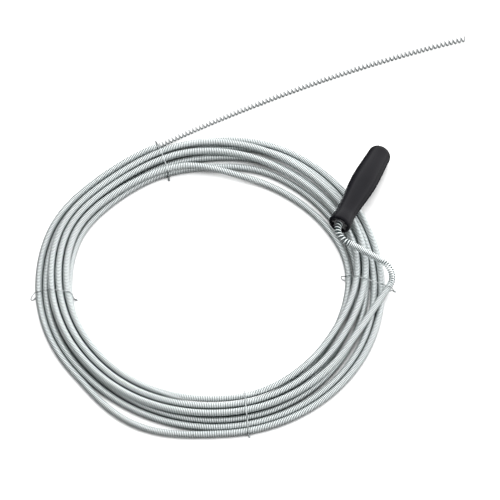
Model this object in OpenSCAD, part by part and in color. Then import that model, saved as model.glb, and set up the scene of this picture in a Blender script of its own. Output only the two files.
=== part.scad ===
// Drain auger: a long close-wound spring cable, hand-coiled into a flat ring and tied
// with four bare wires. One end is an open-wound leading tip, the other end is bent into
// a crank that turns in a moulded grip.
// Origin: centre of the ring on the plane it rests on. +Z up, millimetres.

/* [Cable] */
// Outside diameter of the close-wound spring cable
cable_d = 9; // [8:0.5:10]
// Diameter of the spring wire
wire_d = 2; // [1.6:0.1:2.2]
// Free space left between neighbouring strands
strand_gap = 0.2; // [0.2:0.1:0.6]

/* [Ring] */
// Centre-line radius of the outermost strand, where the bundle is tidiest
ring_r = 211; // [195:1:235]
// Extra radius of the outermost strand at the back right
swell_back = 7.8; // [0:0.2:9]
// Extra radius of the outermost strand at the front
swell_front = 14.2; // [0:0.2:15]
// Extra radius of the outermost strand at the left
swell_left = 1.8; // [0:0.2:2.4]
// How far the ring flattens just before the leading tip
flat = 6.3; // [0:0.1:8]
// Extra slot width at the back right, where the bundle is loosest
loose_back = 4.4; // [0:0.2:5]
// Extra slot width along the front
loose_front = 0.8; // [0:0.2:1.2]
// Extra slot width at the front right
loose_right = 2.1; // [0:0.1:2.4]
// Air gap between the outermost strand and the rest, front left
slack_outer = 9.2; // [0:0.2:10]
// Air gap between the innermost strand and the rest, back right
slack_inner = 1.5; // [0:0.1:3]
// Sideways weave of the upper layer over the lower one, in strand widths
weave = 0.65; // [0:0.05:0.7]

/* [Leading tip] */
// Length of the open-wound tip
tip_len = 418; // [300:1:450]
// Outside diameter of the open-wound tip
tip_d = 7.6; // [6.5:0.1:7.8]
// Pitch of the tip next to the cable
tip_pitch_root = 4.8; // [4.2:0.1:5]
// Pitch of the tip at its free end
tip_pitch_end = 5.3; // [5.2:0.1:6]
// Heading of the tip where it leaves the ring, degrees from +X
tip_heading = 29.7; // [28:0.1:33]
// How far the tip curves back towards the ring, degrees
tip_turn = 13.7; // [0.5:0.1:16]

/* [Crank] */
// Straight run between the last tie and the elbow
foot_len = 2.5; // [2:0.5:6]
// Centre-line radius of the elbow
elbow_r = 22; // [20:1:25]
// Heading of the crank arm, degrees from +X
arm_heading = 159.5; // [156:0.5:161]
// Straight length of the crank arm
arm_len = 44; // [40:0.5:45]
// Centre-line radius of the open-wound neck
neck_r = 19; // [18:1:20]
// Pitch of the open-wound neck
neck_pitch = 4.4; // [4:0.1:5]

/* [Handle] */
// Length of the grip from mouth to domed end
grip_len = 141; // [132:0.5:142]
// Largest diameter of the grip
grip_d = 33.2; // [31:0.2:34]
// Diameter of the waist behind the mouth
waist_d = 25.8; // [24:0.2:27]
// Diameter over the flared mouth
mouth_d = 28.6; // [28.4:0.2:30]
// Heading of the grip, degrees from +X
grip_heading = 67; // [64:0.5:70]
// Height of the mouth centre above the resting plane
mouth_z = 41.5; // [41:0.5:43]
// Fall of the grip axis towards its domed end, degrees
grip_fall = 10.8; // [10:0.1:11.2]

/* [Wire ties] */
// Diameter of the tie wire
tie_d = 1.2; // [1:0.1:1.2]
// Length of each twisted tie end
tail_len = 4.5; // [4.5:0.5:8]

/* [Hidden] */

fine = 64;
clear = 0.3;
tie_clear = 0.45;

// Cable
cable_r = cable_d / 2;
slot_w = cable_d + strand_gap;
floor_gap = tie_d + clear;
lower_z = floor_gap + cable_r;
upper_z = lower_z + slot_w;
tube_sides = 8;
step_deg = 7.5;
hinge_gap = cable_r + 0.4;

// Winding order, as polar angles counted on from the leading tip
lower_loops = 5;
shift_from = 62;
shift_span = 43;
climb_from = shift_from + 360 * lower_loops;
climb_end = climb_from + shift_span;
upper_shift_lag = 222;
upper_shift_from = climb_end + upper_shift_lag;
upper_shift_span = 77;
settle = 0.1;
settle_span = 75;
tie_back_a = 107.5;
tie_left_a = 184.5;
tie_front_a = 283;
tie_right_a = 357;
upper_loops = 3;
cable_from = tie_back_a - 1;
cable_to = tie_right_a + 360 * (lower_loops + upper_loops - 1) - 0.1;
leave_span = 27.2;
leave_from = cable_to - leave_span;

// Where the outline and the slots change, as [direction, half width] in degrees
swell_back_at = [68, 75];
swell_front_at = [297, 108];
swell_left_at = [200, 27];
flat_at = [127, 33];
loose_back_at = [63.5, 67.5];
loose_front_at = [275, 160];
loose_right_at = [330, 47];
slack_outer_at = [247, 28];
slack_inner_at = [73, 40];
weave_front = [280, 60];
weave_right = [15, 45];
weave_back = [155, 50];
weave_top = [85, 70];
weave_ratio = [0.9, 0.8, 0.8];

// Colours
zinc = [0.78, 0.81, 0.82];
tie_grey = [0.66, 0.69, 0.70];
charcoal = [0.17, 0.17, 0.19];
steel = [0.62, 0.63, 0.65];

// ---- Vectors and blending ----

function unit(v) = v / norm(v);
function smooth(x) = let (c = min(1, max(0, x))) c * c * (3 - 2 * c);
function wrap(a) = a - 360 * round(a / 360);
// Rises from 0 to 1 and falls again round one direction; zone is [direction, half width]
function bump(a, zone) =
    let (d = abs(wrap(a - zone[0]))) d < zone[1] ? (1 + cos(180 * d / zone[1])) / 2 : 0;
function heading(a) = [cos(a), sin(a), 0];

// ---- Path of the coiled cable ----

// Slots count inwards from the outermost strand. The lower layer steps in one slot a loop,
// climbs onto itself, and the upper layer steps out again.
function looseness(a) =
    loose_back * bump(a, loose_back_at) + loose_front * bump(a, loose_front_at)
    + loose_right * bump(a, loose_right_at);
// The two outermost strands stay together; the extra width goes to the gaps inside them
function spread(slot) = max(0, slot - 1) * (lower_loops - 1) / (lower_loops - 2);
function slot_r(a, slot) =
    ring_r + swell_back * bump(a, swell_back_at) + swell_front * bump(a, swell_front_at)
    + swell_left * bump(a, swell_left_at) - flat * bump(a, flat_at)
    - slot * slot_w - looseness(a) * spread(slot)
    + slack_outer * bump(a, slack_outer_at) * (1 - smooth(slot))
    - slack_inner * bump(a, slack_inner_at) * smooth(slot - lower_loops + 2);
function lower_slot(a) =
    let (turns = (a - shift_from) / 360, full = floor(turns))
    full - 1 + smooth((turns - full) * 360 / shift_span);
function climb(a) = 90 * smooth((a - climb_from) / shift_span);
function upper_shift(a) =
    let (turns = max(0, a - upper_shift_from) / 360, full = floor(turns))
    full + smooth((turns - full) * 360 / upper_shift_span);
function upper_slot(a) =
    let (settled = smooth((a - climb_end) / settle_span))
    lower_loops - 1 - settle * settled - upper_shift(a)
    + weave * (bump(a, weave_front) - weave_ratio.x * bump(a, weave_right)
               - weave_ratio.y * bump(a, weave_back)
               - weave_ratio.z * bump(a, weave_top) * settled);
function cable_slot(a) =
    a < climb_from ? lower_slot(a)
    : a < climb_end ? lower_slot(a - 360) + cos(climb(a))
    : upper_slot(a);
function cable_z(a) = lower_z + slot_w * sin(climb(a));
// Radius at an angle; the last stretch leaves the ring along a straight tangent
function cable_radius(a) =
    let (b = min(a, leave_from)) slot_r(b, cable_slot(b)) / cos(a - b);
function cable_at(a) =
    let (r = cable_radius(a)) [r * cos(a), r * sin(a), cable_z(a)];

// ---- Path of the crank: foot, elbow, arm, neck and spindle line ----

crank_start = cable_at(cable_to);
foot_heading = let (d = crank_start - cable_at(cable_to - 2)) atan2(d.y, d.x);
elbow_turn = arm_heading - foot_heading;
neck_turn = arm_heading - grip_heading;
elbow_len = elbow_r * elbow_turn * PI / 180;
neck_len = neck_r * neck_turn * PI / 180;
s_elbow = foot_len;
s_arm = s_elbow + elbow_len;
s_neck = s_arm + arm_len;
s_mouth = s_neck + neck_len;

// Point on a circular arc that starts at a heading and turns by a signed angle
function on_arc(radius, from, turned) =
    let (side = turned < 0 ? -1 : 1)
    radius * side * (heading(from + turned - 90) - heading(from - 90));
elbow_start = crank_start + foot_len * heading(foot_heading);
arm_start = elbow_start + on_arc(elbow_r, foot_heading, elbow_turn);
neck_start = arm_start + arm_len * heading(arm_heading);
function crank_plan(s) =
    s < s_elbow ? crank_start + s * heading(foot_heading)
    : s < s_arm ? elbow_start + on_arc(elbow_r, foot_heading, (s - s_elbow) / elbow_r * 180 / PI)
    : s < s_neck ? arm_start + (s - s_arm) * heading(arm_heading)
    : s < s_mouth ? neck_start + on_arc(neck_r, arm_heading, -(s - s_neck) / neck_r * 180 / PI)
    : neck_start + on_arc(neck_r, arm_heading, -neck_turn) + (s - s_mouth) * heading(grip_heading);
// The height climbs smoothly over the bundle and meets the falling grip axis
function crank_z(s) =
    let (f = s / s_mouth)
    s > s_mouth ? mouth_z - (s - s_mouth) * tan(grip_fall)
    : upper_z + (mouth_z - upper_z) * (3 - 2 * f) * f * f
      + s_mouth * tan(grip_fall) * (1 - f) * f * f;
function crank_at(s) = let (p = crank_plan(s)) [p.x, p.y, crank_z(s)];
mouth_at = crank_at(s_mouth);

// Joint centres along the crank
s_lift = hinge_gap;
s_elbow_joint = s_elbow + elbow_len / 2;
s_neck_joint = s_neck;

// ---- Path of the leading tip ----

tip_root = cable_at(cable_from);
// Length over which the tip comes down to lie on the resting plane
tip_settle = 160;
tip_bend_r = tip_len / (tip_turn * PI / 180);
function tip_at(s) =
    let (p = tip_root + on_arc(tip_bend_r, tip_heading, -tip_turn * s / tip_len),
         f = smooth(s / tip_settle))
    [p.x, p.y, tip_root.z * (1 - f) + tip_d / 2 * f];
// Angle wound by the wire, for a pitch that opens steadily from root to end
function tip_wound(s) =
    let (rate = (tip_pitch_end - tip_pitch_root) / tip_len)
    360 / rate * ln(1 + rate * s / tip_pitch_root);
tip_parts = 4;
tip_step = 45;
tip_sides = 5;
joint_cut = 1.3;
tip_first = hinge_gap;
function tip_joint(i) = tip_first + (tip_len - tip_first) * i / tip_parts;

// ---- Swept tubes ----

function ring(p, u, v, r, sides) =
    [for (j = [0:sides - 1]) p + r * (cos(360 * j / sides) * u + sin(360 * j / sides) * v)];

// Closed tube through a list of rings
module tube(rings) {
    n = len(rings[0]);
    m = len(rings);
    walls = [for (i = [0:m - 2], j = [0:n - 1])
        let (a = i * n + j, b = i * n + (j + 1) % n) each [[a, b, b + n], [a, b + n, a + n]]];
    ends = [[for (j = [n - 1:-1:0]) j], [for (j = [0:n - 1]) (m - 1) * n + j]];
    polyhedron([for (r = rings) each r], concat(walls, ends), convexity = 10);
}

// Tube along points, with a radius for each point and a direction that stays square to it
module rod(path, radii, side, sides) {
    last = len(path) - 1;
    tube([for (i = [0:last])
        let (t = unit(path[min(i + 1, last)] - path[max(i - 1, 0)]),
             u = unit(cross(side, t)), v = cross(t, u))
        ring(path[i], u, v, radii[i], sides)]);
}

// Rod along the crank from one place to another, with a ball end at its start
module crank_rod(from, to, stations) {
    ball = [80, 55, 30];
    probe = 0.5;
    t = unit(crank_at(from + probe) - crank_at(from));
    nose = [for (b = ball) crank_at(from) - cable_r * sin(b) * t];
    body = [for (i = [0:stations]) crank_at(from + (to - from) * i / stations)];
    rod(concat(nose, body),
        concat([for (b = ball) cable_r * cos(b)], [for (p = body) cable_r]),
        [0, 0, 1], tube_sides);
}

// Wire wound round a path, with the angle it has reached at each point
module wound_wire(points, angles, coil_r, wire_r, sides) {
    last = len(points) - 1;
    wire = [for (i = [0:last])
        let (t = unit(points[min(i + 1, last)] - points[max(i - 1, 0)]),
             u = unit(cross(t, [0, 0, 1])), v = cross(u, t),
             out = cos(angles[i]) * u + sin(angles[i]) * v)
        [points[i] + coil_r * out, out]];
    tube([for (i = [0:last])
        let (w = unit(wire[min(i + 1, last)][0] - wire[max(i - 1, 0)][0]),
             out = wire[i][1], b = unit(cross(w, out)), n = cross(b, w))
        ring(wire[i][0], n, b, wire_r, sides)]);
}

// ---- Spring cable and its two worked ends ----

module spring_cable() {
    steps = ceil((cable_to - cable_from) / step_deg);
    path = [for (i = [0:steps]) cable_at(min(cable_to, cable_from + step_deg * i))];
    color(zinc) rod(path, [for (p = path) cable_r], [0, 0, 1], tube_sides);
}

module crank_foot_spring() {
    color(zinc) crank_rod(s_lift, s_elbow_joint - hinge_gap, 8);
}

module crank_arm_spring() {
    color(zinc) crank_rod(s_elbow_joint, s_neck_joint - hinge_gap, 20);
}

// Open turns round the bend into the handle, the last ones gripping the spindle nose
module crank_neck_spring() {
    steps_per_turn = 12;
    wire_sides = 6;
    from = s_neck_joint + joint_cut;
    to = s_mouth + nose_len;
    steps = ceil((to - from) / neck_pitch * steps_per_turn);
    path = [for (i = [0:steps]) crank_at(from + (to - from) * i / steps)];
    angles = [for (i = [0:steps]) 360 * (to - from) * i / steps / neck_pitch];
    color(zinc) wound_wire(path, angles, (cable_d - wire_d) / 2, wire_d / 2, wire_sides);
}

module tip_part(i) {
    from = tip_joint(i) + joint_cut;
    to = i < tip_parts - 1 ? tip_joint(i + 1) - joint_cut : tip_len;
    steps = ceil((tip_wound(to) - tip_wound(from)) / tip_step);
    stations = [for (k = [0:steps]) from + (to - from) * k / steps];
    color(zinc) wound_wire([for (s = stations) tip_at(s)], [for (s = stations) tip_wound(s)],
                           (tip_d - wire_d) / 2, wire_d / 2, tip_sides);
}

module tip_spring_1() tip_part(0);
module tip_spring_2() tip_part(1);
module tip_spring_3() tip_part(2);
module tip_spring_4() tip_part(3);

// ---- Wire ties ----

tie_sides = 6;

// Strand centres in the radial plane at an angle, as [radius, height]; the straight foot of
// the crank carries the last strand on for foot_reach degrees
foot_reach = 0.5;
function strands(a) =
    [for (k = [0:lower_loops + upper_loops])
        let (b = a + 360 * k)
        if (b >= cable_from && b <= cable_to + foot_reach) [cable_radius(b), cable_z(b)]];
function furthest(list, n) =
    let (reach = [for (c = list) c * n], top = max(reach))
    [for (i = [0:len(list) - 1]) if (reach[i] == top) list[i]][0];

// One wire round the whole bundle at an angle. Its two ends meet at the tail side, counted
// round the bundle from outwards, and twist together. The slack side stands off the bundle
// and droops along it. The plane of the tie slants by slant millimetres per millimetre.
module wire_tie(a, tail_side, slack_side, slack, slant = 0, droop = 0) {
    out = heading(a);
    along = heading(a + 90);
    up = [0, 0, 1];
    list = strands(a);
    wrap_r = cable_r + tie_clear + tie_d / 2;
    pass = tie_d * 0.65;
    slack_zone = [slack_side, 80];
    open = 14;
    step = 14;
    turns = round((360 - 2 * open) / step);
    around = [for (i = [0:turns])
        let (b = tail_side + open + (360 - 2 * open) * i / turns,
             n = [cos(b), sin(b)],
             loose = bump(b, slack_zone),
             p = furthest(list, n) + n * (wrap_r + slack * loose),
             skew = slant * (list[0].x - p.x) + droop * loose)
        p.x * out + max(p.y, tie_d / 2) * up + (skew + pass * (2 * i / turns - 1)) * along];
    // Twisted pair standing away from the bundle
    twists = 8;
    twist_step = 45;
    twist_from = 1.6;
    n = [cos(tail_side), sin(tail_side)];
    loose = bump(tail_side, slack_zone);
    root = furthest(list, n) + n * (wrap_r + slack * loose);
    skew = slant * (list[0].x - root.x) + droop * loose;
    dir = n.x * out + n.y * up;
    cross_dir = -n.y * out + n.x * up;
    tail = [for (i = [0:twists])
        [twist_from + (tail_len - twist_from) * i / twists, twist_step * i]];
    function tail_point(t, sign) =
        root.x * out + max(root.y, tie_d) * up + skew * along + t[0] * dir
        + sign * pass * (cos(t[1]) * along + sin(t[1]) * cross_dir);
    start = [for (i = [twists:-1:0]) tail_point(tail[i], -1)];
    finish = [for (t = tail) tail_point(t, 1)];
    path = concat(start, around, finish);
    color(tie_grey) rod(path, [for (p = path) tie_d / 2], along, tie_sides);
}

module tie_wire_back() wire_tie(tie_back_a, 205, 20, 1.5);
module tie_wire_left() wire_tie(tie_left_a, 200, 350, 5, 0.25, 10);
module tie_wire_front() wire_tie(tie_front_a, 0, 180, 0.5, 0.13);
module tie_wire_right() wire_tie(tie_right_a, 330, 190, 4.5, 0.32);

// ---- Handle ----

nose_len = 12;
nose_d = cable_d - 2 * wire_d - 0.3;
front_depth = 8;
front_d = 22;
hub_d = 14;
hub_bore = 11;
hub_bore_len = nose_len + 2;
bush_d = 17.96;
bush_len = 46;
bush_back = 1.6;
journal_d = 6;
journal_bore = 6.1;
journal_from = hub_bore_len + 0.6;
head_d = 12;
head_len = 3;
washer_d = 14;
washer_len = 1.6;
cavity_d = 18;
cavity_len = 66;
rib_count = 8;
rib_w = 1.5;
rib_back = 1;
rib_root = 1;
rib_gap = 0.2;
cut = 1;

// Places its children on the grip axis: +Z runs from the mouth to the domed end
module on_grip_axis() {
    translate(mouth_at) rotate([0, 90 + grip_fall, grip_heading]) children();
}

collar_len = 5;
waist_at = 22;
belly_at = 0.6 * grip_len;
taper = 4.5;
lip = 3;
// Outside radius of the grip at a distance from the mouth
function grip_r(x) =
    x < waist_at ? (mouth_d + (waist_d - mouth_d) * smooth((x - collar_len) / (waist_at - collar_len))) / 2
    : x < belly_at ? (waist_d + (grip_d - waist_d) * smooth((x - waist_at) / (belly_at - waist_at))) / 2
    : (grip_d - taper * smooth((x - belly_at) / (grip_len - belly_at))) / 2;
dome_len = 9;
squareness = 0.62;
stations = 40;

module grip_outline() {
    flank_len = grip_len - dome_len;
    end_r = grip_r(flank_len);
    flank = [for (i = [0:stations])
        let (x = lip + (flank_len - lip) * i / stations) [grip_r(x), x]];
    mouth_edge = [for (b = [-80:20:-20]) [mouth_d / 2 - lip * (1 - cos(b)), lip * (1 + sin(b))]];
    dome = [for (b = [10:10:90]) [end_r * pow(cos(b), squareness), flank_len + dome_len * sin(b)]];
    polygon(concat([[0, 0], [mouth_d / 2 - lip, 0]], mouth_edge, flank, dome));
}

module grip() {
    color(charcoal) on_grip_axis() difference() {
        rotate_extrude($fn = fine) grip_outline();
        translate([0, 0, -cut]) cylinder(d = front_d, h = front_depth + cut, $fn = fine);
        cylinder(d = cavity_d, h = cavity_len, $fn = fine);
    }
}

// Bearing pressed into the mouth: a ribbed hub round the spring, then a long journal bore
module mouth_bush() {
    rib_len = front_depth - bush_back - rib_back - clear;
    color(charcoal) on_grip_axis() difference() {
        union() {
            translate([0, 0, bush_back]) cylinder(d = hub_d, h = bush_len - bush_back, $fn = fine);
            translate([0, 0, front_depth + clear])
                cylinder(d = bush_d, h = bush_len - front_depth - clear, $fn = fine);
            for (i = [0:rib_count - 1]) rotate(i * 360 / rib_count)
                translate([hub_d / 2 - rib_root, -rib_w / 2, bush_back + rib_back])
                    cube([(front_d - hub_d) / 2 + rib_root - rib_gap, rib_w, rib_len]);
        }
        translate([0, 0, -cut]) cylinder(d = hub_bore, h = hub_bore_len + cut, $fn = fine);
        cylinder(d = journal_bore, h = bush_len + cut, $fn = fine);
    }
}

// Headed steel spindle that the spring end grips and the bush turns on
module spindle() {
    head_at = bush_len + washer_len + 2 * clear;
    overlap = 0.4;
    color(steel) on_grip_axis() {
        cylinder(d = nose_d, h = journal_from + overlap, $fn = fine);
        translate([0, 0, journal_from]) cylinder(d = journal_d, h = head_at - journal_from, $fn = fine);
        translate([0, 0, head_at]) cylinder(d = head_d, h = head_len, $fn = fine);
    }
}

module thrust_washer() {
    color(steel) on_grip_axis() translate([0, 0, bush_len + clear]) difference() {
        cylinder(d = washer_d, h = washer_len, $fn = fine);
        translate([0, 0, -cut]) cylinder(d = journal_bore, h = washer_len + 2 * cut, $fn = fine);
    }
}

spring_cable();
crank_foot_spring();
crank_arm_spring();
crank_neck_spring();
tip_spring_1();
tip_spring_2();
tip_spring_3();
tip_spring_4();
tie_wire_back();
tie_wire_left();
tie_wire_front();
tie_wire_right();
grip();
mouth_bush();
spindle();
thrust_washer();
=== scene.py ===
"""Drain auger: the wound wire, the finishes of the CAD nodes and the studio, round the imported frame."""

import math

import bpy
import numpy as np
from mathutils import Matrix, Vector


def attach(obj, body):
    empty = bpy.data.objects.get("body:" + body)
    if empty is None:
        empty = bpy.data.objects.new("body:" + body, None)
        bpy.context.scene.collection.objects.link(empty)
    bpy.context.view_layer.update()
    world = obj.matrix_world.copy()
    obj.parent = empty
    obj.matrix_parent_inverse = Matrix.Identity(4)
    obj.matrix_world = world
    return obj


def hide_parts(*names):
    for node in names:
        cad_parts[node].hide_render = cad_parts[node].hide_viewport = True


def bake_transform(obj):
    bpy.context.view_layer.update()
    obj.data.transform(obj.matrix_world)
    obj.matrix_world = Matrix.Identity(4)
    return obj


MM = 0.001
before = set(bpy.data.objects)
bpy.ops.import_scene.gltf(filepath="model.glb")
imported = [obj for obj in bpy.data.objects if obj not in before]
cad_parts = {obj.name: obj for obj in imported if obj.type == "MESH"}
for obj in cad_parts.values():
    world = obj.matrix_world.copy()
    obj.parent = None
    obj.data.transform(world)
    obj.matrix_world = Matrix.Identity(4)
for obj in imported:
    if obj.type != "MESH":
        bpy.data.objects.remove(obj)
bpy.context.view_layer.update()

# ---- Sizes shared with the CAD design, in millimetres and degrees ----

# Cable
CABLE_D = 9.0
WIRE_D = 2.0
SLOT_W = 9.2
TIE_D = 1.2
CLEAR = 0.3
CABLE_R = CABLE_D / 2
LOWER_Z = TIE_D + CLEAR + CABLE_R
UPPER_Z = LOWER_Z + SLOT_W

# Outline of the ring; a zone is a direction and its half width
RING_R = 211.0
SWELL_BACK = 7.8
SWELL_FRONT = 14.2
SWELL_LEFT = 1.8
FLAT = 6.3
LOOSE_BACK = 4.4
LOOSE_FRONT = 0.8
LOOSE_RIGHT = 2.1
SLACK_OUTER = 9.2
SLACK_INNER = 1.5
WEAVE = 0.65
SETTLE = 0.1
SETTLE_SPAN = 75.0
SWELL_BACK_AT = (68.0, 75.0)
SWELL_FRONT_AT = (297.0, 108.0)
SWELL_LEFT_AT = (200.0, 27.0)
FLAT_AT = (127.0, 33.0)
LOOSE_BACK_AT = (63.5, 67.5)
LOOSE_FRONT_AT = (275.0, 160.0)
LOOSE_RIGHT_AT = (330.0, 47.0)
SLACK_OUTER_AT = (247.0, 28.0)
SLACK_INNER_AT = (73.0, 40.0)
WEAVE_FRONT = (280.0, 60.0)
WEAVE_RIGHT = (15.0, 45.0)
WEAVE_BACK = (155.0, 50.0)
WEAVE_TOP = (85.0, 70.0)
WEAVE_RATIO = (0.9, 0.8, 0.8)

# Winding order, as polar angles counted on from the leading tip
LOWER_LOOPS = 5
UPPER_LOOPS = 3
SHIFT_FROM = 62.0
SHIFT_SPAN = 43.0
CLIMB_FROM = SHIFT_FROM + 360 * LOWER_LOOPS
CLIMB_END = CLIMB_FROM + SHIFT_SPAN
UPPER_SHIFT_LAG = 222.0
UPPER_SHIFT_FROM = CLIMB_END + UPPER_SHIFT_LAG
UPPER_SHIFT_SPAN = 77.0
TIE_BACK_A = 107.5
TIE_RIGHT_A = 357.0
CABLE_FROM = TIE_BACK_A - 1
CABLE_TO = TIE_RIGHT_A + 360 * (LOWER_LOOPS + UPPER_LOOPS - 1) - 0.1
LEAVE_SPAN = 27.2
LEAVE_FROM = CABLE_TO - LEAVE_SPAN

# Leading tip, with its pitch next to the cable and at the free end
TIP_LEN = 418.0
TIP_D = 7.6
TIP_PITCH = (4.8, 5.3)
TIP_HEADING = 29.7
TIP_TURN = 13.7
TIP_SETTLE = 160.0

# Crank and the axis of the handle
FOOT_LEN = 2.5
ELBOW_R = 22.0
ARM_HEADING = 159.5
ARM_LEN = 44.0
NECK_R = 19.0
NECK_PITCH = 4.4
NOSE_LEN = 12.0
GRIP_HEADING = 67.0
MOUTH_Z = 41.5
GRIP_FALL = 10.8


# ---- Small mathematics ----

def smooth(x):
    """0 to 1 with level ends."""
    c = np.clip(x, 0.0, 1.0)
    return c * c * (3 - 2 * c)


def bump(a, zone):
    """Rises from 0 to 1 and falls again round one direction; the zone is its direction and half width."""
    mid, half = zone
    d = np.abs((a - mid + 180) % 360 - 180)
    return np.where(d < half, (1 + np.cos(np.pi * d / half)) / 2, 0.0)


def cosd(a):
    return np.cos(np.radians(a))


def sind(a):
    return np.sin(np.radians(a))


def heading(a):
    return np.array([cosd(a), sind(a)])


def unit(v):
    return v / np.linalg.norm(v, axis=-1, keepdims=True)


# ---- Path of the coiled cable, the same rule as the CAD design ----

def looseness(a):
    return (LOOSE_BACK * bump(a, LOOSE_BACK_AT) + LOOSE_FRONT * bump(a, LOOSE_FRONT_AT)
            + LOOSE_RIGHT * bump(a, LOOSE_RIGHT_AT))


def spread(slot):
    """The two outermost strands stay together; the extra width goes to the gaps inside them."""
    return np.maximum(0, slot - 1) * (LOWER_LOOPS - 1) / (LOWER_LOOPS - 2)


def slot_r(a, slot):
    outline = (RING_R + SWELL_BACK * bump(a, SWELL_BACK_AT) + SWELL_FRONT * bump(a, SWELL_FRONT_AT)
               + SWELL_LEFT * bump(a, SWELL_LEFT_AT) - FLAT * bump(a, FLAT_AT))
    outer_gap = SLACK_OUTER * bump(a, SLACK_OUTER_AT) * (1 - smooth(slot))
    inner_gap = SLACK_INNER * bump(a, SLACK_INNER_AT) * smooth(slot - LOWER_LOOPS + 2)
    return outline - slot * SLOT_W - looseness(a) * spread(slot) + outer_gap - inner_gap


def stepped(a, start, span):
    """Whole turns since start, each one blended over span degrees."""
    turns = (a - start) / 360
    full = np.floor(turns)
    return full + smooth((turns - full) * 360 / span)


def climb(a):
    return 90 * smooth((a - CLIMB_FROM) / SHIFT_SPAN)


def cable_slot(a):
    lower = stepped(a, SHIFT_FROM, SHIFT_SPAN) - 1
    rising = stepped(a - 360, SHIFT_FROM, SHIFT_SPAN) - 1 + cosd(climb(a))
    shift = np.where(a > UPPER_SHIFT_FROM, stepped(a, UPPER_SHIFT_FROM, UPPER_SHIFT_SPAN), 0.0)
    settled = smooth((a - CLIMB_END) / SETTLE_SPAN)
    weave = (bump(a, WEAVE_FRONT) - WEAVE_RATIO[0] * bump(a, WEAVE_RIGHT)
             - WEAVE_RATIO[1] * bump(a, WEAVE_BACK) - WEAVE_RATIO[2] * bump(a, WEAVE_TOP) * settled)
    upper = LOWER_LOOPS - 1 - SETTLE * settled - shift + WEAVE * weave
    return np.where(a < CLIMB_FROM, lower, np.where(a < CLIMB_END, rising, upper))


def cable_radius(a):
    held = np.minimum(a, LEAVE_FROM)
    return slot_r(held, cable_slot(held)) / cosd(a - held)


def cable_at(a):
    a = np.asarray(a, float)
    r = cable_radius(a)
    return np.stack([r * cosd(a), r * sind(a), LOWER_Z + SLOT_W * sind(climb(a))], -1)


# ---- Path of the crank ----

def on_arc(radius, start, turned):
    """Step along a circular arc from a heading, turning by a signed angle."""
    side = -1 if turned < 0 else 1
    return -radius * side * (heading(start - 90) - heading(start + turned - 90))


crank_start = cable_at(CABLE_TO)
last_step = crank_start - cable_at(CABLE_TO - 2)
foot_heading = math.degrees(math.atan2(last_step[1], last_step[0]))
elbow_turn = ARM_HEADING - foot_heading
neck_turn = ARM_HEADING - GRIP_HEADING
S_ELBOW = FOOT_LEN
S_ARM = S_ELBOW + ELBOW_R * math.radians(elbow_turn)
S_NECK = S_ARM + ARM_LEN
S_MOUTH = S_NECK + NECK_R * math.radians(neck_turn)
elbow_start = crank_start[:2] + FOOT_LEN * heading(foot_heading)
arm_start = elbow_start + on_arc(ELBOW_R, foot_heading, elbow_turn)
neck_start = arm_start + ARM_LEN * heading(ARM_HEADING)
mouth_plan = neck_start + on_arc(NECK_R, ARM_HEADING, -neck_turn)


def crank_plan(s):
    if s < S_ELBOW:
        return crank_start[:2] + s * heading(foot_heading)
    if s < S_ARM:
        return elbow_start + on_arc(ELBOW_R, foot_heading, math.degrees((s - S_ELBOW) / ELBOW_R))
    if s < S_NECK:
        return arm_start + (s - S_ARM) * heading(ARM_HEADING)
    if s < S_MOUTH:
        return neck_start + on_arc(NECK_R, ARM_HEADING, -math.degrees((s - S_NECK) / NECK_R))
    return mouth_plan + (s - S_MOUTH) * heading(GRIP_HEADING)


def crank_height(s):
    fall = math.tan(math.radians(GRIP_FALL))
    f = s / S_MOUTH
    if s > S_MOUTH:
        return MOUTH_Z - (s - S_MOUTH) * fall
    return UPPER_Z + (MOUTH_Z - UPPER_Z) * (3 - 2 * f) * f * f + S_MOUTH * fall * (1 - f) * f * f


def crank_at(s):
    return np.array([*crank_plan(s), crank_height(s)])


# ---- Path of the leading tip ----

tip_root = cable_at(CABLE_FROM)


def tip_at(s):
    radius = TIP_LEN / math.radians(TIP_TURN)
    plan = tip_root[:2] + on_arc(radius, TIP_HEADING, -TIP_TURN * s / TIP_LEN)
    f = float(smooth(s / TIP_SETTLE))
    return np.array([*plan, tip_root[2] * (1 - f) + TIP_D / 2 * f])


# ---- Mesh making ----

def grid_mesh(name, rings):
    """A closed tube mesh through rings of points, shape (rings, sides, 3), in millimetres."""
    count, sides, _ = rings.shape
    i = np.arange(count - 1)[:, None] * sides
    j = np.arange(sides)[None, :]
    k = (j + 1) % sides
    quads = np.stack([i + j, i + k, i + k + sides, i + j + sides], -1).reshape(-1, 4)
    first = np.arange(sides)[::-1]
    last = np.arange(sides) + (count - 1) * sides
    loops = np.concatenate([quads.ravel(), first, last]).astype(np.int32)
    sizes = np.concatenate([np.full(len(quads), 4), [sides, sides]]).astype(np.int32)
    starts = np.concatenate([[0], np.cumsum(sizes)[:-1]]).astype(np.int32)
    mesh = bpy.data.meshes.new(name)
    mesh.vertices.add(count * sides)
    mesh.vertices.foreach_set("co", (rings * MM).astype(np.float32).ravel())
    mesh.loops.add(len(loops))
    mesh.loops.foreach_set("vertex_index", loops)
    mesh.polygons.add(len(sizes))
    mesh.polygons.foreach_set("loop_start", starts)
    mesh.polygons.foreach_set("loop_total", sizes)
    mesh.update(calc_edges=True)
    mesh.validate()
    rounded = np.ones(len(sizes), bool)
    rounded[-2:] = False
    mesh.polygons.foreach_set("use_smooth", rounded)
    return mesh


def piece(name, mesh, material):
    obj = bpy.data.objects.new(name, mesh)
    bpy.context.scene.collection.objects.link(obj)
    mesh.materials.append(material)
    return obj


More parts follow.
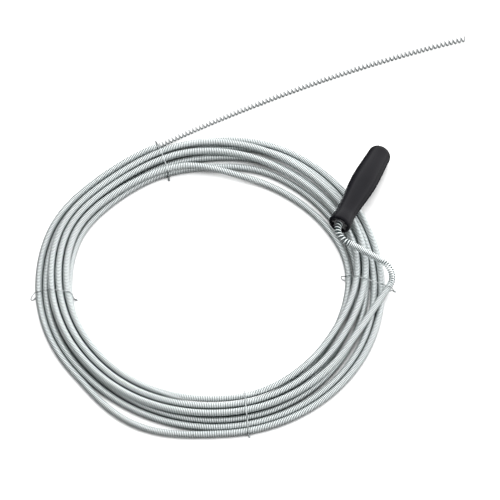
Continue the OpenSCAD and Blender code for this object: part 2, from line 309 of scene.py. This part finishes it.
def rings_along(points, normals, radius, sides):
    """Rings of a round wire; each ring starts on the side that its normal points to."""
    tangent = unit(np.gradient(points, axis=0))
    b = unit(np.cross(tangent, normals))
    n = np.cross(b, tangent)
    angle = np.arange(sides) * 2 * np.pi / sides
    circle = np.cos(angle)[None, :, None] * n[:, None, :] + np.sin(angle)[None, :, None] * b[:, None, :]
    return points[:, None, :] + radius * circle


class Line:
    """A curve that can be sampled by distance along it."""

    def __init__(self, points):
        self.points = points
        steps = np.linalg.norm(np.diff(points, axis=0), axis=1)
        self.s = np.concatenate([[0], np.cumsum(steps)])

    def at(self, s):
        return np.stack([np.interp(s, self.s, self.points[:, i]) for i in range(3)], -1)


STATIONS_PER_MM = 8
STEPS_PER_TURN = 12
PROBE = 0.5


def wind(line, start, end, pitch, coil_r, phase):
    """Centre line of a wire wound round a line.
    Returns its points, the outward direction and distance s at each, and the turns wound at the end.
    Pitch and coil_r are functions of the distance s; phase is the turns already wound at the start."""
    fine = np.linspace(start, end, int((end - start) * STATIONS_PER_MM) + 2)
    turned = phase + np.concatenate([[0], np.cumsum(np.diff(fine) / pitch((fine[1:] + fine[:-1]) / 2))])
    count = int(round((turned[-1] - turned[0]) * STEPS_PER_TURN)) + 1
    turns = np.linspace(turned[0], turned[-1], count)
    s = np.interp(turns, turned, fine)
    centre = line.at(s)
    tangent = unit(line.at(s + PROBE) - line.at(s - PROBE))
    side = unit(np.cross(tangent, [0, 0, 1]))
    up = np.cross(side, tangent)
    angle = (2 * np.pi * turns)[:, None]
    out = np.cos(angle) * side + np.sin(angle) * up
    return centre + coil_r(s)[:, None] * out, out, s, turned[-1]


# ---- The whole spring as one line: tip end, ring, crank ----

TIP_POINTS = 840
CRANK_POINTS = 260
RING_STEP = 0.25


def spring_line():
    """One line from the free tip end, round the ring, to the spindle nose, and named distances along it.
    The entries "tip" and "crank" turn a distance on the tip or crank into a distance on the line."""
    tip_s = np.linspace(TIP_LEN, 0, TIP_POINTS)
    crank_s = np.linspace(0, S_MOUTH + NOSE_LEN, CRANK_POINTS)
    tip = np.array([tip_at(s) for s in tip_s])
    ring = cable_at(np.arange(CABLE_FROM, CABLE_TO, RING_STEP))
    crank = np.array([crank_at(s) for s in crank_s])
    line = Line(np.concatenate([tip, ring, crank]))
    root = len(tip)
    foot = len(tip) + len(ring)
    at = {"root": line.s[root], "foot": line.s[foot], "end": line.s[-1],
          "tip": lambda s: float(np.interp(-s, -tip_s, line.s[:root])),
          "crank": lambda s: float(np.interp(s, crank_s, line.s[foot:]))}
    return line, at


# Pitch along the spring; each change of pitch is spread over a short run-in
CLOSED_PITCH = 2.15
ELBOW_PITCH = 3.0
TIP_RUN_IN = 8.0
ELBOW_RUN_IN = (3.0, 4.0)
NECK_RUN_IN = 5.0


def lookup(table):
    """A function that reads between the pairs of a table."""
    x, y = np.array(table).T
    return lambda s: np.interp(s, x, y)


def spring_shape(at):
    """Pitch and coil radius of the wire as functions of the distance along the spring."""
    closed_r = (CABLE_D - WIRE_D) / 2
    tip_r = (TIP_D - WIRE_D) / 2
    root = at["root"]
    crank_u = at["crank"]
    outside, inside = ELBOW_RUN_IN
    pitch = lookup([
        (0, TIP_PITCH[1]),
        (root - TIP_RUN_IN, TIP_PITCH[0]),
        (root + TIP_RUN_IN, CLOSED_PITCH),
        (crank_u(S_ELBOW - outside), CLOSED_PITCH),
        (crank_u(S_ELBOW + inside), ELBOW_PITCH),
        (crank_u(S_ARM - inside), ELBOW_PITCH),
        (crank_u(S_ARM + outside), CLOSED_PITCH),
        (crank_u(S_NECK - NECK_RUN_IN), CLOSED_PITCH),
        (crank_u(S_NECK + NECK_RUN_IN), NECK_PITCH),
        (at["end"], NECK_PITCH)])
    coil_r = lookup([
        (0, tip_r),
        (root - TIP_RUN_IN, tip_r),
        (root + TIP_RUN_IN, closed_r),
        (at["end"], closed_r)])
    return pitch, coil_r


WIRE_SIDES = 8
# The drawn wire is a little thinner than its nominal size, so that the turns stay apart
DRAWN = 0.9
# Pitches between which the tip wire changes from the ring's close-wound colour to the darker colour painted
# as shade on its open-wound turns
CLOSED_LOOK = (2.8, 3.8)


def mark(obj, label, values):
    """A number for each point of a mesh, for its material to read."""
    layer = obj.data.attributes.new(label, "FLOAT", "POINT")
    layer.data.foreach_set("value", values.astype(np.float32))


def wire_piece(name, line, start, end, shape, phase, material):
    """One length of the wound spring as a mesh; returns the piece and the turns wound at its end."""
    pitch, coil_r = shape
    points, out, s, turned = wind(line, start, end, pitch, coil_r, phase)
    rings = rings_along(points, out, WIRE_D / 2 * DRAWN, WIRE_SIDES)
    obj = piece(name, grid_mesh(name, rings), material)
    # Inward is 0 on the outer side of the wire and 1 on its inner side; the material paints shade on the
    # inner side by it
    inward = (1 - np.cos(np.arange(WIRE_SIDES) * 2 * np.pi / WIRE_SIDES)) / 2
    closed = np.clip((CLOSED_LOOK[1] - pitch(s)) / (CLOSED_LOOK[1] - CLOSED_LOOK[0]), 0, 1)
    mark(obj, "inward", np.tile(inward, len(rings)))
    mark(obj, "closed", np.repeat(closed, WIRE_SIDES))
    return obj, turned


# Where the spring is divided into pieces
RING_PIECES = 16
RING_LEAD = 12.0
HINGE_GAP = CABLE_R + 0.4
FOOT_CUT = 13.0
TIP_PARTS = 4

# Half lengths of the stretches either side of the joints between two bodies
TIP_ROOT_BEND = 11
TIP_BEND = 34
FOOT_BEND = 7
ELBOW_BEND = 8
NECK_BEND = 11


def tip_joint(i):
    return HINGE_GAP + (TIP_LEN - HINGE_GAP) * i / TIP_PARTS


def bend_zone(obj, line, joint_at, half):
    """Bakes the piece's placement into its mesh; the ends of the stretch either side of the joint are found
    but not used.
    """
    start, end = line.at(np.array([joint_at - half, joint_at + half])) * MM
    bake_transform(obj)


def build_spring(ring_material, tip_material):
    """The whole wound wire, piece after piece from the free tip end to the spindle nose."""
    line, at = spring_line()
    shape = spring_shape(at)
    tip_u = at["tip"]
    crank_u = at["crank"]
    ring_names = [f"ring_wire_{i + 1:02d}" for i in range(RING_PIECES)]
    names = [f"tip_wire_{i + 1}" for i in reversed(range(TIP_PARTS))]
    names += ring_names + ["foot_wire", "elbow_wire", "neck_wire"]
    tip_cuts = [tip_u((tip_joint(i) + tip_joint(i + 1)) / 2) for i in reversed(range(TIP_PARTS - 1))]
    ring_cuts = np.linspace(at["root"] + RING_LEAD, at["foot"] - RING_LEAD, RING_PIECES + 1)
    crank_cuts = [crank_u(FOOT_CUT), crank_u(S_ARM + ARM_LEN / 2), at["end"]]
    cuts = [0.0] + tip_cuts + list(ring_cuts) + crank_cuts
    made = {}
    phase = 0.0
    for name, start, end in zip(names, cuts[:-1], cuts[1:]):
        material = tip_material if name.startswith("tip") else ring_material
        made[name], phase = wire_piece(name, line, start, end, shape, phase, material)
    for name in ring_names:
        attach(made[name], "coil")
        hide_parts("spring_cable")
    bend_zone(made["tip_wire_1"], line, tip_u(tip_joint(0)), TIP_ROOT_BEND)
    for i in range(1, TIP_PARTS):
        bend_zone(made[f"tip_wire_{i + 1}"], line, tip_u(tip_joint(i)), TIP_BEND)
    for i in range(TIP_PARTS):
        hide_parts(f"tip_spring_{i + 1}")
    elbow = (S_ELBOW + S_ARM) / 2
    bend_zone(made["foot_wire"], line, crank_u(HINGE_GAP), FOOT_BEND)
    bend_zone(made["elbow_wire"], line, crank_u(elbow), ELBOW_BEND)
    bend_zone(made["neck_wire"], line, crank_u(S_NECK), NECK_BEND)
    for part, node in (("foot", "foot"), ("elbow", "arm"), ("neck", "neck")):
        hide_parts(f"crank_{node}_spring")


# ---- Materials ----

# Where noise starts and ends a blend of colours, and of numbers
RAMP_ENDS = (0.35, 0.65)
NOISE_SPAN = (0.3, 0.7)
AO_SAMPLES = 8
# Sockets of a colour mix node
MIX_FACTOR = 0
MIX_COLOURS = 6
MIX_RESULT = 2


def set_range(node, numbers):
    for key, number in zip(("From Min", "From Max", "To Min", "To Max"), numbers):
        node.inputs[key].default_value = number


class Nodes:
    """Short hand for building a node material."""

    def __init__(self, name):
        self.material = bpy.data.materials.new(name)
        self.material.use_nodes = True
        self.tree = self.material.node_tree
        self.shader = self.tree.nodes["Principled BSDF"]
        self.coords = self.add("ShaderNodeTexCoord").outputs["Object"]

    def add(self, kind, **values):
        node = self.tree.nodes.new(kind)
        for key, value in values.items():
            setattr(node, key, value)
        return node

    def link(self, out, into):
        self.tree.links.new(out, into)

    def noise(self, scale, detail):
        node = self.add("ShaderNodeTexNoise")
        node.inputs["Scale"].default_value = scale
        node.inputs["Detail"].default_value = detail
        self.link(self.coords, node.inputs["Vector"])
        return node.outputs["Fac"]

    def ramp(self, factor, low, high):
        """A colour between low and high, for a noise factor."""
        node = self.add("ShaderNodeValToRGB")
        for element, place, colour in zip(node.color_ramp.elements, RAMP_ENDS, (low, high)):
            element.position = place
            element.color = (*colour, 1)
        self.link(factor, node.inputs["Fac"])
        return node.outputs["Color"]

    def range(self, factor, low, high):
        """A number between low and high, for a noise factor."""
        node = self.add("ShaderNodeMapRange")
        set_range(node, NOISE_SPAN + (low, high))
        self.link(factor, node.inputs["Value"])
        return node.outputs["Result"]

    def mix(self, factor, base, colour):
        node = self.add("ShaderNodeMix", data_type="RGBA")
        self.link(factor, node.inputs[MIX_FACTOR])
        self.link(base, node.inputs[MIX_COLOURS])
        node.inputs[MIX_COLOURS + 1].default_value = (*colour, 1)
        return node.outputs[MIX_RESULT]

    def step(self, value, edge, levels):
        """A smooth step from one level to the other as the value crosses the edge."""
        node = self.add("ShaderNodeMapRange", interpolation_type="SMOOTHSTEP")
        set_range(node, edge + levels)
        self.link(value, node.inputs["Value"])
        return node.outputs["Result"]

    def open_sky(self, reach):
        """1 on open faces, falling to 0 in crevices narrower than reach, in millimetres."""
        node = self.add("ShaderNodeAmbientOcclusion", samples=AO_SAMPLES)
        node.inputs["Distance"].default_value = reach * MM
        return node.outputs["AO"]

    def attribute(self, name):
        return self.add("ShaderNodeAttribute", attribute_name=name).outputs["Fac"]

    def bump(self, height, strength):
        node = self.add("ShaderNodeBump")
        node.inputs["Strength"].default_value = strength
        node.inputs["Distance"].default_value = BUMP_DEPTH
        self.link(height, node.inputs["Height"])
        self.link(node.outputs["Normal"], self.shader.inputs["Normal"])

    def finish(self, base, roughness, metallic=0.0, specular=0.5):
        self.link(base, self.shader.inputs["Base Color"])
        self.link(roughness, self.shader.inputs["Roughness"])
        self.shader.inputs["Metallic"].default_value = metallic
        self.shader.inputs["Specular IOR Level"].default_value = specular
        return self.material


BUMP_DEPTH = 0.0002
# Metal: scales of the wear, roughness and drawn lines as multiples of the patch scale
WEAR_SCALE = 6
STREAK_SCALE = 3
DRAWN_SCALE = 40
DRAWN_STRENGTH = 0.25
WEAR_MOST = 0.55
# Painted shade: the inward flank of each turn and the crevices between strands take the gap shade colour
FLANK_EDGE = (0.04, 0.40)
CREVICE = 12.0
CREVICE_EDGE = (0.06, 0.46)
# Plastic: scales of the flow marks, rubbed patches and grain
FLOW_SCALE = 28
RUBBED_SCALE = 45
GRAIN_SCALE = 900


def metal(name, dull, bright, rough, patch, wear=None, painted_gap_shade=None, closed=None, metallic=1.0):
    """Metal with cloudy colour, streaky roughness and a fine drawn surface.
    The gap shade is the colour painted as shade in crevices and on the inward flanks, and closed is the
    colour of close-wound turns."""
    n = Nodes(name)
    base = n.ramp(n.noise(patch, 4), dull, bright)
    if wear:
        base = n.mix(n.range(n.noise(patch * WEAR_SCALE, 2), 0.0, WEAR_MOST), base, wear)
    # Close-wound turns take the closed colour of the ring; the open-wound turns of the tip keep their darker
    # painted shade
    if closed:
        base = n.mix(n.attribute("closed"), base, closed)
    # Painted shade: the inward flank of each turn, then the crevices found by ambient occlusion, are
    # darkened to the gap shade colour
    if painted_gap_shade:
        base = n.mix(n.step(n.attribute("inward"), FLANK_EDGE, (0.0, 1.0)), base, painted_gap_shade)
        base = n.mix(n.step(n.open_sky(CREVICE), CREVICE_EDGE, (1.0, 0.0)), base, painted_gap_shade)
    roughness = n.range(n.noise(patch * STREAK_SCALE, 3), *rough)
    n.bump(n.noise(patch * DRAWN_SCALE, 2), DRAWN_STRENGTH)
    return n.finish(base, roughness, metallic)


def plastic(name, low, high, rough, grain, specular):
    """Moulded plastic with faint flow marks, a fine grain and rubbed patches."""
    n = Nodes(name)
    base = n.ramp(n.noise(FLOW_SCALE, 4), low, high)
    roughness = n.range(n.noise(RUBBED_SCALE, 4), *rough)
    n.bump(n.noise(GRAIN_SCALE, 3), grain)
    return n.finish(base, roughness, specular=specular)


# The gap colours are painted shade for the inward flanks and the crevices of the wire
spring_metal = metal(
    "spring_wire", (0.82, 0.87, 0.875), (0.86, 0.905, 0.905), (0.32, 0.42), patch=22,
    wear=(0.83, 0.87, 0.87), painted_gap_shade=(0.10, 0.145, 0.148), metallic=0.7)
# Painted shade: the tip is the same zinc wire as the ring, coloured much darker so that its open-wound turns
# read grey
tip_metal_shaded = metal(
    "tip_wire", (0.35, 0.36, 0.365), (0.43, 0.44, 0.445), (0.45, 0.55), patch=22,
    wear=(0.45, 0.46, 0.465), painted_gap_shade=(0.20, 0.22, 0.22), closed=(0.83, 0.87, 0.87), metallic=0.4)
tie_metal = metal(
    "tie_wire", (0.42, 0.45, 0.46), (0.58, 0.61, 0.61), (0.12, 0.22), patch=160, metallic=0.95)
bright_steel = metal(
    "bright_steel", (0.55, 0.56, 0.58), (0.68, 0.69, 0.70), (0.2, 0.32), patch=240)
grip_black = plastic(
    "grip_plastic", (0.0045, 0.0043, 0.006), (0.0065, 0.0063, 0.0085), (0.2, 0.3), 0.06, 0.13)
# Painted light: the bush is the grip's black plastic, coloured far lighter to stand in for the light that
# the recess of the mouth shades off
bush_painted_light = plastic(
    "bush_plastic", (0.10, 0.10, 0.105), (0.12, 0.12, 0.126), (0.3, 0.42), 0.12, 0.5)

# The finish and the record's material slot of each carried-over node
CAD_FINISH = {"grip": (grip_black, "grip_plastic"), "mouth_bush": (bush_painted_light, "bush_plastic"),
              "spindle": (bright_steel, "bright_steel"), "thrust_washer": (bright_steel, "bright_steel")}
for side in ("back", "left", "front", "right"):
    CAD_FINISH[f"tie_wire_{side}"] = (tie_metal, "tie_wire")
for node_name, (finish, slot_name) in CAD_FINISH.items():
    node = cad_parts[node_name]
    node.data.materials.clear()
    node.data.materials.append(finish)

build_spring(spring_metal, tip_metal_shaded)


# ---- Studio ----

CAMERA_ELEVATION = 57.2
CAMERA_DISTANCE = 24.0
CAMERA_REACH = 200.0
FRAME_WIDTH = 0.625
SENSOR_WIDTH = 36.0
LOOK_AT = np.array([0.0525, 0.052, 0.0])


def aim(obj, place, target):
    """Turns a camera or lamp at a place towards a target."""
    obj.rotation_euler = (Vector(target) - Vector(place)).to_track_quat("-Z", "Y").to_euler()


FLOOR_HALF = 8.0
FLOOR_PALE = ((0.95, 0.95, 0.95), (0.97, 0.97, 0.97))
FLOOR_SHADE = (0.02, 0.04, 0.04)
FLOOR_GAP_EDGE = (0.15, 0.42)


def build_floor():
    """A pale floor, darker only in the narrow gaps under and between the strands."""
    h = FLOOR_HALF
    mesh = bpy.data.meshes.new("floor")
    mesh.from_pydata([(-h, -h, 0), (h, -h, 0), (h, h, 0), (-h, h, 0)], [], [(0, 1, 2, 3)])
    floor = bpy.data.objects.new("floor", mesh)
    bpy.context.scene.collection.objects.link(floor)
    n = Nodes("floor")
    base = n.ramp(n.noise(3, 2), *FLOOR_PALE)
    base = n.mix(n.step(n.open_sky(CREVICE), FLOOR_GAP_EDGE, (1.0, 0.0)), base, FLOOR_SHADE)
    mesh.materials.append(n.finish(base, n.range(n.noise(20, 2), 0.8, 0.9), specular=0.0))
    floor.visible_glossy = False


# Each part of the studio wall is a direction, the edge of its step and the levels on both sides
SOFTBOX_SIDE = (0.40, 0.22, 0.89)
SOFTBOX_EDGE = (0.22, 0.28)
SOFTBOX_LEVELS = (0.80, 1.90)
CAMERA_SIDE = (0.0, -0.545, 0.84)
CAMERA_SIDE_EDGE = (0.35, 0.9)
CAMERA_SIDE_LEVELS = (1.0, 0.52)
OPEN_SIDE = (0.6, 0.2, 0.77)
OPEN_SIDE_EDGE = (-0.3, 0.15)
OPEN_SIDE_LEVELS = (0.06, 1.0)


def build_world():
    """A white studio: a softbox over the back and right, a dimmer wall behind the camera and a dark left."""
    world = bpy.data.worlds.new("studio")
    world.use_nodes = True
    tree = world.node_tree
    back = tree.nodes["Background"]
    back.inputs["Color"].default_value = (1, 1, 1, 1)
    coords = tree.nodes.new("ShaderNodeTexCoord").outputs["Generated"]

    def step(side, edge, levels):
        dot = tree.nodes.new("ShaderNodeVectorMath")
        dot.operation = "DOT_PRODUCT"
        dot.inputs[1].default_value = side
        tree.links.new(coords, dot.inputs[0])
        ramp = tree.nodes.new("ShaderNodeMapRange")
        ramp.interpolation_type = "SMOOTHSTEP"
        set_range(ramp, edge + levels)
        tree.links.new(dot.outputs["Value"], ramp.inputs["Value"])
        return ramp.outputs["Result"]

    def times(a, b):
        product = tree.nodes.new("ShaderNodeMath")
        product.operation = "MULTIPLY"
        tree.links.new(a, product.inputs[0])
        tree.links.new(b, product.inputs[1])
        return product.outputs[0]

    softbox = step(SOFTBOX_SIDE, SOFTBOX_EDGE, SOFTBOX_LEVELS)
    above = times(softbox, step(CAMERA_SIDE, CAMERA_SIDE_EDGE, CAMERA_SIDE_LEVELS))
    lit = times(above, step(OPEN_SIDE, OPEN_SIDE_EDGE, OPEN_SIDE_LEVELS))
    # The camera itself sees an even white behind the floor
    seen = tree.nodes.new("ShaderNodeMix")
    tree.links.new(tree.nodes.new("ShaderNodeLightPath").outputs["Is Camera Ray"], seen.inputs[0])
    tree.links.new(lit, seen.inputs[2])
    seen.inputs[3].default_value = 1.0
    tree.links.new(seen.outputs[0], back.inputs["Strength"])
    bpy.context.scene.world = world


def build_camera():
    data = bpy.data.cameras.new("camera")
    data.sensor_width = SENSOR_WIDTH
    data.lens = SENSOR_WIDTH * CAMERA_DISTANCE / FRAME_WIDTH
    data.clip_end = CAMERA_REACH
    camera = bpy.data.objects.new("camera", data)
    up = math.radians(CAMERA_ELEVATION)
    camera.location = LOOK_AT + CAMERA_DISTANCE * np.array([0, -math.cos(up), math.sin(up)])
    bpy.context.scene.collection.objects.link(camera)
    aim(camera, camera.location, LOOK_AT)
    bpy.context.scene.camera = camera


TOP_LIGHT_HEIGHT = 2.2
TOP_LIGHT_SIDE = 1.8
TOP_LIGHT_WATTS = 40


def build_top_light():
    """A soft square light over the middle; reflections show only the studio wall."""
    data = bpy.data.lights.new("top_softbox", "AREA")
    data.shape = "SQUARE"
    data.size = TOP_LIGHT_SIDE
    data.energy = TOP_LIGHT_WATTS
    lamp = bpy.data.objects.new("top_softbox", data)
    lamp.location = (0, 0, TOP_LIGHT_HEIGHT)
    bpy.context.scene.collection.objects.link(lamp)
    aim(lamp, lamp.location, (0, 0, 0))
    lamp.visible_glossy = False


build_floor()
build_world()
build_camera()
build_top_light()
bpy.context.scene.view_settings.view_transform = "Standard"
